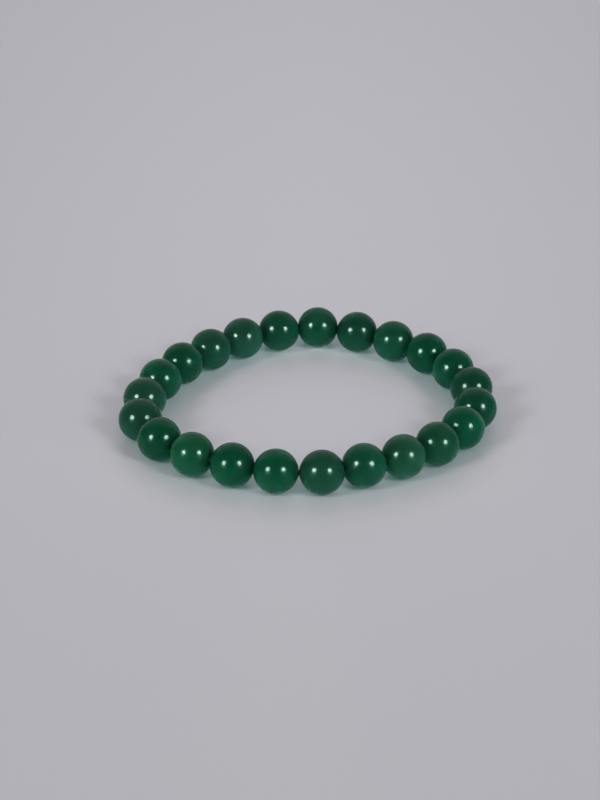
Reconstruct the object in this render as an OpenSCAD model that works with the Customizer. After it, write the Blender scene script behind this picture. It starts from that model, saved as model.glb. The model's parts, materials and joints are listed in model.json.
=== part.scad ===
// Stretch bracelet of round polished stone beads on one elastic cord.
// The closed loop lies flat: the floor is z = 0, and the origin is under the middle of the loop.
// Bead 1 is at the left of the front, and the numbers run counterclockwise seen from above.

/* [Beads] */
// Diameter of each round bead
bead_d = 8; // [7.2:0.1:8.8]
// Diameter of the hole drilled through each bead
bore_d = 1; // [1:0.05:1.2]
// Width of the small countersink where the hole comes out
mouth_d = 1.4; // [1.4:0.05:1.6]
// Width of the countersinks on both sides of the knot, which leave room for it
knot_mouth_d = 1.8; // [1.7:0.05:2]
// Clear space between two neighbouring beads
bead_gap = 0.06; // [0.05:0.01:0.12]

/* [Elastic cord] */
// Thickness of the cord inside the beads
cord_d = 0.7; // [0.5:0.05:0.7]
// Width of the pulled-down knot that closes the cord
knot_d = 1.5; // [1.2:0.05:1.5]
// Length of the knot along the cord
knot_len = 0.5; // [0.4:0.02:0.5]
// Extra space that the knot takes between its two beads
knot_gap = 0.15; // [0.15:0.01:0.3]

/* [Stone colours] */
// Darkest green of the beads
deep_green = "#12382a"; // color
// Usual green of the beads
mid_green = "#175040"; // color
// Lightest green of the beads
pale_green = "#25603f"; // color
// Colour of the cord
cord_colour = "#1c1f17"; // color

/* [Hidden] */
// Columns of bead_table: the degrees by which the row of beads turns at this bead, and its shade of green
turn = 0;
shade = 1;
bead_table = [
    [31, deep_green],
    [21, mid_green],
    [15, pale_green],
    [12, mid_green],
    [13, mid_green],
    [20, mid_green],
    [6, mid_green],
    [11, pale_green],
    [14, pale_green],
    [18, mid_green],
    [22, mid_green],
    [21, deep_green],
    [14, mid_green],
    [17, deep_green],
    [10, mid_green],
    [15, deep_green],
    [26, mid_green],
    [13, mid_green],
    [13, mid_green],
    [9, deep_green],
    [12, deep_green],
    [11, mid_green],
    [16, mid_green]
];
last_bead = len(bead_table) - 1;

// Direction in which the line from bead 1 to bead 2 runs
first_angle = -60;
// Place in bead_table of the bead that the knot comes after
knot_bead = 4;

// Columns of knot_table: the place along the knot, from -1 to 1, and how much of its swelling is there
along = 0;
swell = 1;
knot_table = [
    [-1, 0],
    [-0.5, 0.6],
    [0, 1],
    [0.5, 0.6],
    [1, 0]
];

bead_r = bead_d / 2;
cord_r = cord_d / 2;
// How far the cutting tools reach out past the bead
overcut = 1;
// Smoothness of the beads, their holes and the cord
ball_sides = 72;
hole_sides = 32;
cord_sides = 8;

function bead_name(i) = str("bead_", i < 9 ? "0" : "", i + 1);

function heading(angle) = [cos(angle), sin(angle)];

// Angle of the straight line from bead i to the next bead, and of the hole through bead i
function line_angle(i) = i == 0 ? first_angle : line_angle(i - 1) + bead_table[i][turn];
function hole_angle(i) = line_angle(i) - bead_table[i][turn] / 2;

// The beads follow each other at one spacing, plus room for the knot at its place
function spacing(i) = bead_d + bead_gap + (i == knot_bead ? knot_gap : 0);
function walk(i) = i == 0 ? [0, 0] : walk(i - 1) + spacing(i - 1) * heading(line_angle(i - 1));

// Whole degrees leave a small error where the loop closes, which all the beads share
closing_error = walk(last_bead + 1);
loop_spots = [for (i = [0 : last_bead]) walk(i) - closing_error * i / (last_bead + 1)];
loop_x = [for (spot = loop_spots) spot.x];
loop_y = [for (spot = loop_spots) spot.y];
loop_middle = [min(loop_x) + max(loop_x), min(loop_y) + max(loop_y)] / 2;

function bead_spot(i) = loop_spots[i] - loop_middle;

// Side 1 of a bead faces the next bead, and side -1 the one before
function mouth(i, side) = (side > 0 ? i : i - 1) == knot_bead ? knot_mouth_d : mouth_d;
// The countersink is a 45 degree cone, from this far out along the hole, where the cord starts to bend
function sink_start(i, side) =
    sqrt(bead_r ^ 2 - (mouth(i, side) / 2) ^ 2) - (mouth(i, side) - bore_d) / 2;

// A ring of the cord is its middle, the angle that it faces and its radius
function bead_ring(i, side) = [
    bead_spot(i) + side * sink_start(i, side) * heading(hole_angle(i)),
    hole_angle(i),
    cord_r
];
// The knot stands halfway between its two beads, square to the line between them
function knot_ring(row) = let (
    start = bead_ring(knot_bead, 1)[0],
    end = bead_ring(knot_bead + 1, -1)[0]
) [
    (start + end) / 2 + row[along] * knot_len / 2 * (end - start) / norm(end - start),
    line_angle(knot_bead),
    cord_r + row[swell] * (knot_d - cord_d) / 2
];
cord_rings = [
    for (i = [0 : last_bead]) each concat(
        [bead_ring(i, -1), bead_ring(i, 1)],
        i == knot_bead ? [for (row = knot_table) knot_ring(row)] : []
    )
];

// Point number side of a ring: out level from the cord's line, then round it
function ring_point(ring, side) = let (
    around = (side + 0.5) * 360 / cord_sides,
    out = ring[2] * cos(around) * heading(ring[1] - 90)
) [
    ring[0].x + out.x,
    ring[0].y + out.y,
    bead_r + ring[2] * sin(around)
];

module bead(i) {
    color(bead_table[i][shade])
    translate([bead_spot(i).x, bead_spot(i).y, bead_r])
    rotate([0, 90, hole_angle(i)])
    difference() {
        sphere(r = bead_r, $fn = ball_sides);
        cylinder(d = bore_d, h = bead_d + overcut, center = true, $fn = hole_sides);
        for (side = [-1, 1])
            rotate([side > 0 ? 0 : 180, 0, 0])
            translate([0, 0, sink_start(i, side)])
            cylinder(r1 = bore_d / 2, r2 = bore_d / 2 + bead_r, h = bead_r, $fn = hole_sides);
    }
}

// One closed tube through every bead, thicker where it is knotted
module elastic_cord() {
    ring_count = len(cord_rings);
    points = [
        for (ring = cord_rings) for (side = [0 : cord_sides - 1]) ring_point(ring, side)
    ];
    faces = [
        for (k = [0 : ring_count - 1]) for (side = [0 : cord_sides - 1])
            let (
                here = k * cord_sides,
                ahead = (k + 1) % ring_count * cord_sides,
                next = (side + 1) % cord_sides
            )
            each [
                [here + side, ahead + next, ahead + side],
                [here + side, here + next, ahead + next]
            ]
    ];
    color(cord_colour)
    polyhedron(points = points, faces = faces, convexity = 10);
}

for (i = [0 : last_bead])
    bead(i);
elastic_cord();
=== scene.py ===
import json
import math

import bpy
from mathutils import Matrix, Vector, geometry, noise


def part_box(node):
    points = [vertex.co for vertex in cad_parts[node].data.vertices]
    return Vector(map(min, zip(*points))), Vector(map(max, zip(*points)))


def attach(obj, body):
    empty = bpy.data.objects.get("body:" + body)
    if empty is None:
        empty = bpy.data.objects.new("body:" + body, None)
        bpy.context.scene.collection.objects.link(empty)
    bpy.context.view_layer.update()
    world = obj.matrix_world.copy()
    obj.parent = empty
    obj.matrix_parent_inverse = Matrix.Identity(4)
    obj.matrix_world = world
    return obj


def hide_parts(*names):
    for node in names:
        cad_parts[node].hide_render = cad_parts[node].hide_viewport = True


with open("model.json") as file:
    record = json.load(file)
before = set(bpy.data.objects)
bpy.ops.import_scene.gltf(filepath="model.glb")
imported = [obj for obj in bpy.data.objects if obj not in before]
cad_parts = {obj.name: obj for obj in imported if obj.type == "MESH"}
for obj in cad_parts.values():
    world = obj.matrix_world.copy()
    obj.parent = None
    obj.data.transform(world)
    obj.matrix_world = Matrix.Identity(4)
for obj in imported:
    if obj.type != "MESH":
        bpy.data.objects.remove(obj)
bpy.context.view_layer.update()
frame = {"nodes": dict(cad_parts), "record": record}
mm = 0.001
print("frame loaded with", len(frame["nodes"]), "parts")


# small helpers

def addPiece(name, points, faces):
    mesh = bpy.data.meshes.new(name)
    mesh.from_pydata(points, [], faces)
    mesh.validate()
    mesh.polygons.foreach_set("use_smooth", [True] * len(mesh.polygons))
    piece = bpy.data.objects.new(name, mesh)
    bpy.context.scene.collection.objects.link(piece)
    return piece


def wrapFaces(rings, around, closed):
    # quads between rings of points; a closed piece joins its last ring to its first
    faces = []
    for ring in range(rings if closed else rings - 1):
        here = ring * around
        ahead = (ring + 1) % rings * around
        for step in range(around):
            after = (step + 1) % around
            faces.append((here + step, here + after, ahead + after, ahead + step))
    return faces


def sweepTube(name, route, radius, around, closed, ribs=None):
    # a round tube along a route; ribs gives the share of the radius at each place on it
    points = []
    count = len(route)
    for index, spot in enumerate(route):
        before = route[index - 1] if closed or index else spot
        after = route[(index + 1) % count] if closed or index < count - 1 else spot
        ahead = (after - before).normalized()
        guide = Vector((0, 0, 1)) if abs(ahead.z) < 0.9 else Vector((1, 0, 0))
        side = ahead.cross(guide).normalized()
        up = side.cross(ahead)
        for step in range(around):
            turn = 2 * math.pi * step / around
            out = radius * (ribs(index, turn) if ribs else 1)
            points.append(spot + (side * math.cos(turn) + up * math.sin(turn)) * out)
    faces = wrapFaces(count, around, closed)
    if not closed:
        faces.append(tuple(range(around))[::-1])
        faces.append(tuple(range((count - 1) * around, count * around)))
    return addPiece(name, points, faces)


def newMaterial(name):
    material = bpy.data.materials.new(name)
    material.use_nodes = True
    tree = material.node_tree
    shader = tree.nodes["Principled BSDF"]
    return material, tree, shader


def addNode(tree, kind, **settings):
    node = tree.nodes.new(kind)
    for key, value in settings.items():
        setattr(node, key, value)
    return node


def mixColours(tree, share, first, second):
    # share, first and second are sockets or plain values
    node = addNode(tree, "ShaderNodeMix", data_type="RGBA")
    sockets = (node.inputs[0], node.inputs[6], node.inputs[7])
    for socket, value in zip(sockets, (share, first, second)):
        if isinstance(value, bpy.types.NodeSocket):
            tree.links.new(value, socket)
        else:
            socket.default_value = value
    return node.outputs[2]


def remap(tree, value, fromLow, fromHigh, toLow, toHigh):
    node = addNode(tree, "ShaderNodeMapRange", clamp=True)
    tree.links.new(value, node.inputs["Value"])
    node.inputs["From Min"].default_value = fromLow
    node.inputs["From Max"].default_value = fromHigh
    node.inputs["To Min"].default_value = toLow
    node.inputs["To Max"].default_value = toHigh
    return node.outputs["Result"]


# where the beads are, read from the frame

beadNames = sorted(name for name in frame["nodes"] if name.startswith("bead_"))
beadCount = len(beadNames)
beadSlots = {row["node"]: row["material_slot"] for row in frame["record"]["subparts"]}
beadRadius = (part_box(beadNames[0])[1].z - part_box(beadNames[0])[0].z) / 2
beadCentres = [(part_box(name)[0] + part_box(name)[1]) / 2 for name in beadNames]


def holeDirection(index):
    # the drilled hole points halfway between the lines to the two neighbours
    here = beadCentres[index]
    back = (here - beadCentres[index - 1]).normalized()
    onward = (beadCentres[(index + 1) % beadCount] - here).normalized()
    return (back + onward).normalized()


# camera at the photo's viewing angle, fitted to the outlines of the beads

cameraView = {
    "lens": 93.8,
    "place": (-1.853 * mm, -347.365 * mm, 194.06 * mm),
    "pitchDown": 28.83,
    "roll": 1.87,
}


def makeCamera():
    pitch = math.radians(cameraView["pitchDown"])
    roll = math.radians(cameraView["roll"])
    forward = Vector((0, math.cos(pitch), -math.sin(pitch)))
    level = Vector((1, 0, 0))
    upright = Vector((0, math.sin(pitch), math.cos(pitch)))
    right = math.cos(roll) * level + math.sin(roll) * upright
    up = math.cos(roll) * upright - math.sin(roll) * level
    turned = Matrix((right, up, -forward)).transposed().to_4x4()
    data = bpy.data.cameras.new("photoCamera")
    data.lens = cameraView["lens"]
    data.sensor_width = 36
    data.clip_start = 0.01
    camera = bpy.data.objects.new("photoCamera", data)
    camera.matrix_world = Matrix.Translation(cameraView["place"]) @ turned
    bpy.context.scene.collection.objects.link(camera)
    bpy.context.scene.camera = camera


makeCamera()
print("camera placed")


# polished green stone, one material for each shade of the record

stoneShades = {
    "stone_deep": {"dark": (0.0032, 0.0302, 0.0142, 1), "light": (0.0064, 0.0470, 0.0240, 1)},
    "stone_mid": {"dark": (0.0032, 0.0353, 0.0165, 1), "light": (0.0066, 0.0549, 0.0271, 1)},
    "stone_pale": {"dark": (0.0042, 0.0406, 0.0177, 1), "light": (0.0090, 0.0618, 0.0292, 1)},
}
stoneFinish = {
    "cloudFineness": 150,  # higher makes smaller clouds in the stone
    "cloudDetail": 5,
    "cloudSwirl": 0.6,
    "cloudEdges": (0.32, 0.68),  # nearer each other makes harder clouds
    "veinFineness": 420,
    "veinDetail": 3,
    "veinSwirl": 9,
    "veinShare": 0.14,
    "glowDepth": 6 * mm,  # how far light travels inside
    "glowReach": (0.35, 1, 0.7),  # shares of that for red, green and blue
    "refraction": 1.54,
    "roughness": 0.17,
    "shine": 0.09,
    "polishWaves": 0.003,
    "waveFineness": 700,
    "waveHeight": 0.2 * mm,
}


def stoneColour(tree, place, shade):
    # clouds between the shade's two greens, with faint veins of the lighter one
    clouds = addNode(tree, "ShaderNodeTexNoise")
    clouds.inputs["Scale"].default_value = stoneFinish["cloudFineness"]
    clouds.inputs["Detail"].default_value = stoneFinish["cloudDetail"]
    clouds.inputs["Distortion"].default_value = stoneFinish["cloudSwirl"]
    tree.links.new(place, clouds.inputs["Vector"])
    cloudShare = remap(tree, clouds.outputs["Fac"], *stoneFinish["cloudEdges"], 0, 1)
    veins = addNode(tree, "ShaderNodeTexWave", wave_type="BANDS", bands_direction="DIAGONAL")
    veins.inputs["Scale"].default_value = stoneFinish["veinFineness"]
    veins.inputs["Distortion"].default_value = stoneFinish["veinSwirl"]
    veins.inputs["Detail"].default_value = stoneFinish["veinDetail"]
    tree.links.new(place, veins.inputs["Vector"])
    veinShare = remap(tree, veins.outputs["Fac"], 0, 1, 0, stoneFinish["veinShare"])
    body = mixColours(tree, cloudShare, shade["dark"], shade["light"])
    veined = mixColours(tree, veinShare, body, shade["light"])
    # each bead's own tint and lightness, which makeBead stores on it
    ownTone = addNode(tree, "ShaderNodeAttribute", attribute_name="ownTone")
    toned = addNode(tree, "ShaderNodeMix", data_type="RGBA", blend_type="MULTIPLY")
    toned.inputs[0].default_value = 1
    tree.links.new(veined, toned.inputs[6])
    tree.links.new(ownTone.outputs["Color"], toned.inputs[7])
    return toned.outputs[2]


def polishWaves(tree, place):
    waves = addNode(tree, "ShaderNodeTexNoise")
    waves.inputs["Scale"].default_value = stoneFinish["waveFineness"]
    tree.links.new(place, waves.inputs["Vector"])
    bump = addNode(tree, "ShaderNodeBump")
    bump.inputs["Strength"].default_value = stoneFinish["polishWaves"]
    bump.inputs["Distance"].default_value = stoneFinish["waveHeight"]
    tree.links.new(waves.outputs["Fac"], bump.inputs["Height"])
    return bump.outputs["Normal"]


def makeStone(slotName):
    material, tree, shader = newMaterial("polished" + slotName.title().replace("_", ""))
    place = addNode(tree, "ShaderNodeTexCoord").outputs["Object"]
    tree.links.new(stoneColour(tree, place, stoneShades[slotName]), shader.inputs["Base Color"])
    tree.links.new(polishWaves(tree, place), shader.inputs["Normal"])
    shader.subsurface_method = "RANDOM_WALK"
    shader.inputs["Subsurface Weight"].default_value = 1
    shader.inputs["Subsurface Radius"].default_value = stoneFinish["glowReach"]
    shader.inputs["Subsurface Scale"].default_value = stoneFinish["glowDepth"]
    shader.inputs["IOR"].default_value = stoneFinish["refraction"]
    shader.inputs["Specular IOR Level"].default_value = stoneFinish["shine"]
    shader.inputs["Roughness"].default_value = stoneFinish["roughness"]
    return material


stoneMaterials = {slotName: makeStone(slotName) for slotName in stoneShades}
print("stone mixed in", len(stoneMaterials), "shades")


# round beads with a drilled hole, a rounded countersink and a trace of hand polishing

beadShape = {
    "stepsAround": 96,
    "stepsOver": 54,
    "boreRadius": 0.5 * mm,
    "mouthRadius": 0.7 * mm,
    "knotMouthRadius": 0.9 * mm,  # wider on both sides of the knot
    "knotAfter": 4,  # place in the row, counted from 0, of the bead that the knot follows
    "edgeRounding": 0.08 * mm,
    "fullness": 0.08 * mm,  # how much fuller the finished ball is than the plain one
    "wobble": 0.01 * mm,  # how far its surface strays inward from there
    "wobbleFineness": 1.1,
    "chipDepth": 0.15 * mm,  # little flakes where the drill came out
    "chipReach": 0.25 * mm,  # how far from the rim they lie
    "chipFineness": 3.5,
    "chipLimit": 0.12,  # higher leaves fewer of them
}
# tints of the stone, as shares of red, green and blue, and each bead's own tint and lightness
stoneTints = {
    "leaf": (0.5, 1, 0.96),
    "moss": (0.7, 1, 0.98),
    "sea": (1, 1, 1.08),
    "smoke": (1.5, 1, 1.14),
    "mist": (2, 1, 1.2),
}
beadTones = [
    ("smoke", 0.91), ("moss", 0.85), ("moss", 0.98), ("leaf", 0.89), ("moss", 1.02), ("smoke", 0.9),
    ("sea", 1.0), ("smoke", 1.02), ("sea", 0.8), ("leaf", 1.04), ("sea", 0.8), ("sea", 0.78),
    ("moss", 0.98), ("leaf", 0.87), ("sea", 0.9), ("sea", 0.82), ("sea", 0.97), ("sea", 0.84),
    ("mist", 1.08), ("smoke", 1.08), ("moss", 0.92), ("moss", 0.9), ("mist", 0.92),
]


def roundedCorner(corner, arrive, leave, size):
    # a short curve in place of a sharp corner
    start = corner - arrive * size
    end = corner + leave * size
    steps = 4
    return [
        start * (1 - t) ** 2 + corner * 2 * t * (1 - t) + end * t ** 2
        for t in (step / steps for step in range(steps + 1))
    ]


def mouthRadius(index, side):
    # side 1 of a bead faces the next bead, side -1 the one before
    knot = (index if side > 0 else index - 1) == beadShape["knotAfter"]
    return beadShape["knotMouthRadius" if knot else "mouthRadius"]


def sinkStart(index, side):
    # how far along the hole the countersink starts, where the cord begins to bend
    mouth = mouthRadius(index, side)
    return math.sqrt(beadRadius ** 2 - mouth ** 2) - (mouth - beadShape["boreRadius"])


def beadProfile(mouth):
    # half of the outline, from the middle of the bore to the widest girth;
    # x runs along the hole and y out from it
    bore = beadShape["boreRadius"]
    size = beadShape["edgeRounding"]
    rimAngle = math.asin(mouth / beadRadius)
    rim = Vector((beadRadius * math.cos(rimAngle), mouth))
    sink = Vector((rim.x - (mouth - bore), bore))
    slope = Vector((1, 1)).normalized()
    overBall = Vector((-math.sin(rimAngle), math.cos(rimAngle)))
    half = [Vector((sink.x * t, bore)) for t in (0, 0.35, 0.7)]
    half += roundedCorner(sink, Vector((1, 0)), slope, size)
    half += roundedCorner(rim, slope, overBall, size)
    firstAngle = rimAngle + 2 * size / beadRadius
    steps = beadShape["stepsOver"] // 2
    for step in range(steps + 1):
        angle = firstAngle + (math.pi / 2 - firstAngle) * step / steps
        half.append(Vector((math.cos(angle), math.sin(angle))) * beadRadius)
    return half


def makeBead(index):
    name = beadNames[index]
    # the two halves share their first and last points, and their countersinks may differ
    front = beadProfile(mouthRadius(index, 1))
    back = beadProfile(mouthRadius(index, -1))
    profile = front + [Vector((-spot.x, spot.y)) for spot in back[-2:0:-1]]
    centre = beadCentres[index]
    hole = holeDirection(index)
    side = hole.cross(Vector((0, 0, 1))).normalized()
    up = side.cross(hole)
    around = beadShape["stepsAround"]
    # each bead takes its own part of the noise, and so does each end of its hole
    seed = Vector((index * 3.7, index * 1.3, index * 5.1))
    points = []
    for spot in profile:
        mouth = mouthRadius(index, spot.x)
        rimDistance = abs(spot.length - beadRadius) + max(spot.y - mouth, 0)
        nearRim = max(0, 1 - rimDistance / beadShape["chipReach"])
        chipSeed = seed * 2 + hole * math.copysign(4, spot.x)
        for step in range(around):
            turn = 2 * math.pi * step / around
            out = side * math.cos(turn) + up * math.sin(turn)
            place = hole * spot.x + out * spot.y
            # the bore stays plain, and the ball and its rims are finished
            if spot.y > mouth * 0.9:
                swayNoise = noise.noise(place / beadRadius * beadShape["wobbleFineness"] + seed)
                flakeNoise = noise.noise(out * beadShape["chipFineness"] + chipSeed)
                inward = beadShape["wobble"] * (0.5 + 0.5 * swayNoise)
                inward += beadShape["chipDepth"] * nearRim * max(0, flakeNoise - beadShape["chipLimit"])
                place -= place.normalized() * (inward - beadShape["fullness"])
            # no bead reaches below the floor
            place.z = max(place.z, -beadRadius)
            points.append(centre + place)
    bead = addPiece("polishedBead" + name[-2:], points, wrapFaces(len(profile), around, True))
    tint, lightness = beadTones[index]
    tone = bead.data.color_attributes.new("ownTone", "FLOAT_COLOR", "POINT")
    own = [lightness * share for share in stoneTints[tint]] + [1]
    tone.data.foreach_set("color", own * len(points))
    bead.data.materials.append(stoneMaterials[beadSlots[name]])
    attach(bead, "root")
    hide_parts(name)
    return bead


beads = [makeBead(index) for index in range(beadCount)]
print("beads polished:", len(beads))


# elastic cord through the beads

cordShape = {
    "radius": 0.35 * mm,
    "around": 16,
    "stepsInBead": 16,
    "stepsInGap": 5,
    "ribs": 8,
    "ribDepth": 0.035,  # as a share of the radius
    "ribTwist": 1.1,
    "strandRadius": 0.13 * mm,  # the knot's strand
    "strandAround": 10,
    "knotTurns": 2.5,
    "knotSteps": 90,
    "dark": (0.020, 0.013, 0.008, 1),
    "light": (0.038, 0.0247, 0.0152, 1),
    "fibreFineness": 4000,
    "fibreEdges": (0.3, 0.7),
    "roughness": (0.42, 0.6),
}


def makeCordMaterial():
    material, tree, shader = newMaterial("elasticCord")
    place = addNode(tree, "ShaderNodeTexCoord").outputs["Object"]
    fibres = addNode(tree, "ShaderNodeTexNoise")
    fibres.inputs["Scale"].default_value = cordShape["fibreFineness"]
    tree.links.new(place, fibres.inputs["Vector"])
    share = remap(tree, fibres.outputs["Fac"], *cordShape["fibreEdges"], 0, 1)
    colour = mixColours(tree, share, cordShape["dark"], cordShape["light"])
    roughness = remap(tree, share, 0, 1, *cordShape["roughness"])
    tree.links.new(colour, shader.inputs["Base Color"])
    tree.links.new(roughness, shader.inputs["Roughness"])
    return material


def cordRoute():
    # straight through each hole, and straight from one hole to the next
    inBead = cordShape["stepsInBead"]
    inGap = cordShape["stepsInGap"]
    route = []
    for index in range(beadCount):
        after = (index + 1) % beadCount
        hole = holeDirection(index)
        arriving = beadCentres[index] - hole * sinkStart(index, -1)
        leaving = beadCentres[index] + hole * sinkStart(index, 1)
        onward = beadCentres[after] - holeDirection(after) * sinkStart(after, -1)
        route += [arriving.lerp(leaving, step / inBead) for step in range(inBead + 1)]
        route += [leaving.lerp(onward, step / inGap) for step in range(1, inGap)]
    return route


def braid(index, turn):
    # two sets of faint ribs that wind round the cord in opposite ways
    ribTurn = cordShape["ribs"] * turn
    wind = cordShape["ribTwist"] * index
    return 1 - cordShape["ribDepth"] * (0.5 + 0.5 * math.cos(ribTurn + wind) * math.cos(ribTurn - wind))


def makeCord(material):
    radius = cordShape["radius"]
    cord = sweepTube("elasticCord", cordRoute(), radius, cordShape["around"], True, braid)
    cord.data.materials.append(material)
    return cord


def makeKnot(material):
    # a strand wound tight round the cord, along it and back over itself, with trimmed ends
    first = beadShape["knotAfter"]
    gapMiddle = (beadCentres[first] + beadCentres[first + 1]) / 2
    knotMiddle = min(cordRoute(), key=lambda spot: (spot - gapMiddle).length)
    ahead = (beadCentres[first + 1] - beadCentres[first]).normalized()
    upright = Vector((0, 0, 1))
    outward = ahead.cross(upright).normalized()
    strand = cordShape["strandRadius"]
    steps = cordShape["knotSteps"]
    path = []
    for step in range(steps + 1):
        t = step / steps
        angle = cordShape["knotTurns"] * 2 * math.pi * t
        # the strand is pressed a little into the cord, and half way it climbs over itself
        climb = math.sin(math.pi * t) ** 6
        out = cordShape["radius"] + strand * 0.9 * (1 + climb)
        along = strand * 1.5 * math.cos(math.pi * t * 2)
        facing = outward * math.cos(angle) + upright * math.sin(angle)
        path.append(knotMiddle + ahead * along + facing * out)
    knot = sweepTube("cordKnot", path, strand, cordShape["strandAround"], False)
    knot.data.materials.append(material)
    return knot


cordMaterial = makeCordMaterial()
cordPieces = [makeCord(cordMaterial), makeKnot(cordMaterial)]
for piece in cordPieces:
    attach(piece, "root")
    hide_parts("elastic_cord")
print("cord threaded and knotted")


# pale paper sweep with painted light on it, and soft lamps

paper = {
    "floorColour": (0.411, 0.408, 0.438, 1),
    # painted light: the paper's colour is made brighter round the bracelet, as a pool of lamp light,
    # and fades towards the camera
    "paintedPoolColour": (0.469, 0.455, 0.496, 1),  # the paper is a little brighter round the bracelet
    "paintedPoolPlace": 85 * mm,
    "paintedPoolWidth": 125 * mm,
    "paintedPoolDepth": 330 * mm,
    "paintedPoolFront": (-130 * mm, -30 * mm),  # where that fades towards the camera
    "wallColour": (0.42, 0.415, 0.445, 1),
    "wallStart": 0.4,
    "roughness": 0.4,
    "shine": 0.4,
    "halfWidth": 1.8,
    "front": -1.5,
    "curveStart": 0.9,
    "curveRadius": 0.4,
    "curveSteps": 12,
    "top": 3.0,
    # the painted light from the stones is stored on this fine mesh
    "fineReach": 45 * mm,  # the mesh is fine under the bracelet, for the light through the stones
    "fineStep": 0.45 * mm,
}
# painted light on the paper, given off as its emission, for the light that comes through the stones:
# green round the row, a pale band in front of the beads at the back, some thrown out in front of the
# row, and a faint grey bounce near it
paintedStoneLight = {
    "farthest": 24 * mm,
    "bounce": 0.009,
    "bounceReach": 9 * mm,
    "green": 0.043,
    "greenReach": 5.6 * mm,
    "blue": 0.035,
    "blueReach": 5.4 * mm,
    "blueEdge": 2.6,  # higher ends it more sharply
    "leftShare": 0.6,  # how far it reaches on the outside at the left, against elsewhere
    "leftStart": 29 * mm,
    "leftFade": 5 * mm,
    "endFade": 10 * mm,  # how gently the back and the front of the loop take over
    "band": 0.034,
    "bandAhead": 2 * mm,
    "bandWidth": 1.7 * mm,
    "backGreen": 0.010,  # more at the back of the loop
    "backBlue": 0.007,
    "frontThrow": (0.014, 0.018, 0.009),
    "throwAhead": 10.5 * mm,
    "throwWidth": 4 * mm,
    "arc": 0.072,
    "arcRadius": 1.9 * mm,
    "arcWidth": 0.5 * mm,
    "facingEdge": 4,  # higher keeps the band and its arcs nearer the front of the beads
}
# directions in degrees: turn to the right of the camera, rise above the floor
# light lamps fall on everything, and the others on the beads alone: glint and shine lamps are seen
# in their polish, and stone lamps stand for the light that the stones pass on to each other
lamps = {
    "keyLeft": {"turn": -49, "rise": 32.4, "away": 3.0, "size": 0.91, "power": 36.6, "use": "light"},
    "keyRight": {"turn": 46.8, "rise": 34.8, "away": 3.0, "size": 0.94, "power": 35.1, "use": "light"},
    "frontFill": {"turn": 0, "rise": 42, "away": 1.4, "size": 1.02, "power": 2.0, "use": "light"},
    "backFill": {"turn": 182, "rise": 38, "away": 1.0, "size": 0.98, "power": 3.0, "use": "light"},
    "glintLeft": {"turn": -49, "rise": 30, "away": 3.0, "size": 0.95, "power": 250, "use": "glint"},
    "glintRight": {"turn": 47, "rise": 33, "away": 3.0, "size": 0.95, "power": 235, "use": "glint"},
    "tailLeft": {"turn": -46.5, "rise": 18, "away": 2.6, "size": 1.1, "power": 20, "use": "glint"},
    "tailRight": {"turn": 44, "rise": 22, "away": 2.6, "size": 1.1, "power": 20, "use": "glint"},
    "hazeLeft": {"turn": -47, "rise": 8, "away": 2.6, "size": 1.7, "power": 2.5, "use": "shine"},
    "hazeRight": {"turn": 45, "rise": 10, "away": 2.6, "size": 1.7, "power": 3.5, "use": "shine"},
    "wallShine": {"turn": 180, "rise": 18, "away": 1.0, "size": 3.2, "power": 8, "use": "shine"},
    "innerFront": {"turn": 0, "rise": -48, "away": 1.4, "size": 1.2, "power": 32, "use": "stone"},
    "innerLeft": {"turn": -80, "rise": -20, "away": 1.4, "size": 1.2, "power": 25, "use": "stone"},
    "innerRight": {"turn": 80, "rise": -20, "away": 1.4, "size": 1.2, "power": 25, "use": "stone"},
}
lampColours = {
    "light": (1, 1, 1),
    "glint": (0.6, 1, 0.82),
    "shine": (1, 1, 1),
    "stone": (0.36, 1, 1.12),
}
room = {"strength": 0.44, "tint": (1, 1, 1, 1)}


def fromStrand(x, y):
    # how far a place on the floor is from the row, and how much it lies on the camera's side of it
    here = Vector((x, y))
    found = []
    for k in range(beadCount):
        start, end = beadCentres[k - 1].xy, beadCentres[k].xy
        share = geometry.intersect_point_line(here, start, end)[1]
        found.append(start.lerp(end, min(max(share, 0), 1)))
    nearest = min(found, key=lambda spot: (spot - here).length)
    away = (nearest - here).length
    return away, (nearest.y - y) / max(away, 0.1 * mm)


def bell(value, middle, width):
    return math.exp(-(value - middle) ** 2 / (2 * width ** 2))


def ramp(value, length):
    return min(max(value / length, 0), 1)


def paintedStoneLightAt(x, y):
    # red, green and blue of the painted light on the paper at this place
    strand, ahead = fromStrand(x, y)
    if strand > paintedStoneLight["farthest"]:
        return [0, 0, 0, 1]
    outLeft = ramp(-x - paintedStoneLight["leftStart"], paintedStoneLight["leftFade"])
    reach = 1 - (1 - paintedStoneLight["leftShare"]) * outLeft
    atBack = ramp(y, paintedStoneLight["endFade"])
    atFront = ramp(-y, paintedStoneLight["endFade"]) * max(0, ahead)
    green = paintedStoneLight["green"] + paintedStoneLight["backGreen"] * atBack
    green *= math.exp(-(strand / paintedStoneLight["greenReach"] / reach) ** 2)
    blue = paintedStoneLight["blue"] + paintedStoneLight["backBlue"] * atBack
    blue *= math.exp(-(strand / paintedStoneLight["blueReach"] / reach) ** paintedStoneLight["blueEdge"])
    facing = atBack * max(0, ahead) ** paintedStoneLight["facingEdge"]
    foot = min(math.hypot(x - spot.x, y - spot.y) for spot in beadCentres)
    pale = paintedStoneLight["band"] * bell(strand, paintedStoneLight["bandAhead"], paintedStoneLight["bandWidth"])
    pale += paintedStoneLight["arc"] * bell(foot, paintedStoneLight["arcRadius"], paintedStoneLight["arcWidth"])
    grey = pale * facing + paintedStoneLight["bounce"] * math.exp(-(strand / paintedStoneLight["bounceReach"]) ** 2)
    thrown = atFront * bell(strand, paintedStoneLight["throwAhead"], paintedStoneLight["throwWidth"])
    through = (0, green, blue)
    return [grey + through[k] + paintedStoneLight["frontThrow"][k] * thrown for k in range(3)] + [1]


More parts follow.
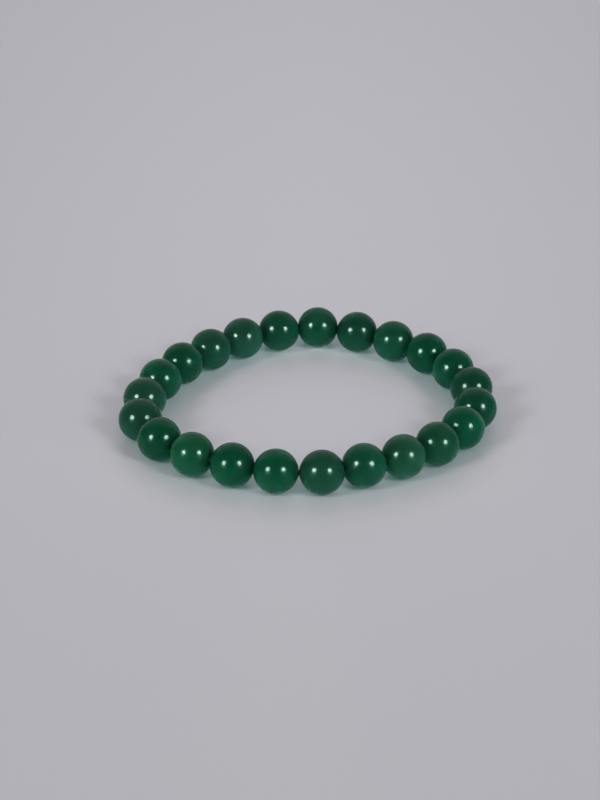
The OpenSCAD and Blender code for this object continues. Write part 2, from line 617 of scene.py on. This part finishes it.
def makePaper():
    material, tree, shader = newMaterial("paper")
    split = addNode(tree, "ShaderNodeSeparateXYZ")
    place = addNode(tree, "ShaderNodeTexCoord").outputs["Object"]
    tree.links.new(place, split.inputs[0])
    # painted pool of light: the paper's colour is brighter round the bracelet and fades towards the
    # camera
    middle = addNode(tree, "ShaderNodeMapping")
    middle.inputs["Location"].default_value = (0, -paper["paintedPoolPlace"] / paper["paintedPoolDepth"], 0)
    middle.inputs["Scale"].default_value = (1 / paper["paintedPoolWidth"], 1 / paper["paintedPoolDepth"], 0)
    tree.links.new(place, middle.inputs["Vector"])
    distance = addNode(tree, "ShaderNodeVectorMath", operation="LENGTH")
    tree.links.new(middle.outputs["Vector"], distance.inputs[0])
    inPaintedPool = remap(tree, distance.outputs["Value"], 0, 1, 1, 0)
    inPaintedPool.node.interpolation_type = "SMOOTHSTEP"
    paintedPoolShare = addNode(tree, "ShaderNodeMath", operation="MULTIPLY")
    tree.links.new(inPaintedPool, paintedPoolShare.inputs[0])
    tree.links.new(remap(tree, split.outputs["Y"], *paper["paintedPoolFront"], 0, 1), paintedPoolShare.inputs[1])
    floorWithPaintedPool = mixColours(tree, paintedPoolShare.outputs[0], paper["floorColour"], paper["paintedPoolColour"])
    wallEnd = paper["curveStart"] + paper["curveRadius"]
    wallShare = remap(tree, split.outputs["Y"], paper["wallStart"], wallEnd, 0, 1)
    colour = mixColours(tree, wallShare, floorWithPaintedPool, paper["wallColour"])
    tree.links.new(colour, shader.inputs["Base Color"])
    shader.inputs["Roughness"].default_value = paper["roughness"]
    shader.inputs["Specular IOR Level"].default_value = paper["shine"]
    # the paper gives off the painted light from the stones as emission
    paintedLight = addNode(tree, "ShaderNodeAttribute", attribute_name="paintedLight")
    tree.links.new(paintedLight.outputs["Color"], shader.inputs["Emission Color"])
    shader.inputs["Emission Strength"].default_value = 1
    return material


def makeSweep():
    # a flat floor, fine under the bracelet, that curves up into a wall at the back
    reach = paper["fineReach"]
    fineSteps = int(2 * reach / paper["fineStep"])
    fine = [-reach + paper["fineStep"] * k for k in range(fineSteps + 1)]
    columns = [-paper["halfWidth"]] + fine + [paper["halfWidth"]]
    floor = [paper["front"]] + fine + [paper["wallStart"], paper["curveStart"]]
    outline = [(y, 0.0) for y in floor]
    for step in range(1, paper["curveSteps"] + 1):
        angle = math.pi / 2 * step / paper["curveSteps"]
        outline.append((
            paper["curveStart"] + paper["curveRadius"] * math.sin(angle),
            paper["curveRadius"] * (1 - math.cos(angle)),
        ))
    outline.append((outline[-1][0], paper["top"]))
    points = [Vector((x, y, z)) for y, z in outline for x in columns]
    across = len(columns)
    faces = [
        (row + k, row + k + 1, row + k + 1 + across, row + k + across)
        for row in range(0, across * (len(outline) - 1), across)
        for k in range(across - 1)
    ]
    sweep = addPiece("paperSweep", points, faces)
    # painted light from the stones, stored on the paper's points
    paintedLight = sweep.data.color_attributes.new("paintedLight", "FLOAT_COLOR", "POINT")
    paintedLight.data.foreach_set("color", [part for spot in points for part in paintedStoneLightAt(spot.x, spot.y)])
    sweep.data.materials.append(makePaper())


def makeLamps():
    stones = bpy.data.collections.new("stones")
    for bead in beads:
        stones.objects.link(bead)
    solids = bpy.data.collections.new("solids")
    for piece in beads + cordPieces:
        solids.objects.link(piece)
    for name, setting in lamps.items():
        use = setting["use"]
        data = bpy.data.lights.new(name, "AREA")
        data.shape = "DISK"
        data.size = setting["size"]
        data.energy = setting["power"]
        data.color = lampColours[use]
        turn = math.radians(setting["turn"])
        rise = math.radians(setting["rise"])
        toLamp = Vector((
            math.sin(turn) * math.cos(rise),
            -math.cos(turn) * math.cos(rise),
            math.sin(rise),
        ))
        lamp = bpy.data.objects.new(name, data)
        lamp.location = toLamp * setting["away"]
        lamp.rotation_euler = toLamp.to_track_quat("Z", "Y").to_euler()
        lamp.visible_camera = False
        lamp.visible_glossy = use in ("glint", "shine")
        lamp.visible_diffuse = not lamp.visible_glossy
        if use != "light":
            lamp.light_linking.receiver_collection = stones
        if use == "stone":
            lamp.light_linking.blocker_collection = solids
        bpy.context.scene.collection.objects.link(lamp)


def makeRoom():
    world = bpy.data.worlds.new("paleRoom")
    bpy.context.scene.world = world
    world.use_nodes = True
    background = world.node_tree.nodes["Background"]
    background.inputs["Color"].default_value = room["tint"]
    background.inputs["Strength"].default_value = room["strength"]
    world.cycles_visibility.glossy = False


makeSweep()
makeLamps()
makeRoom()
bpy.context.scene.view_settings.view_transform = "Standard"
print("studio lit")
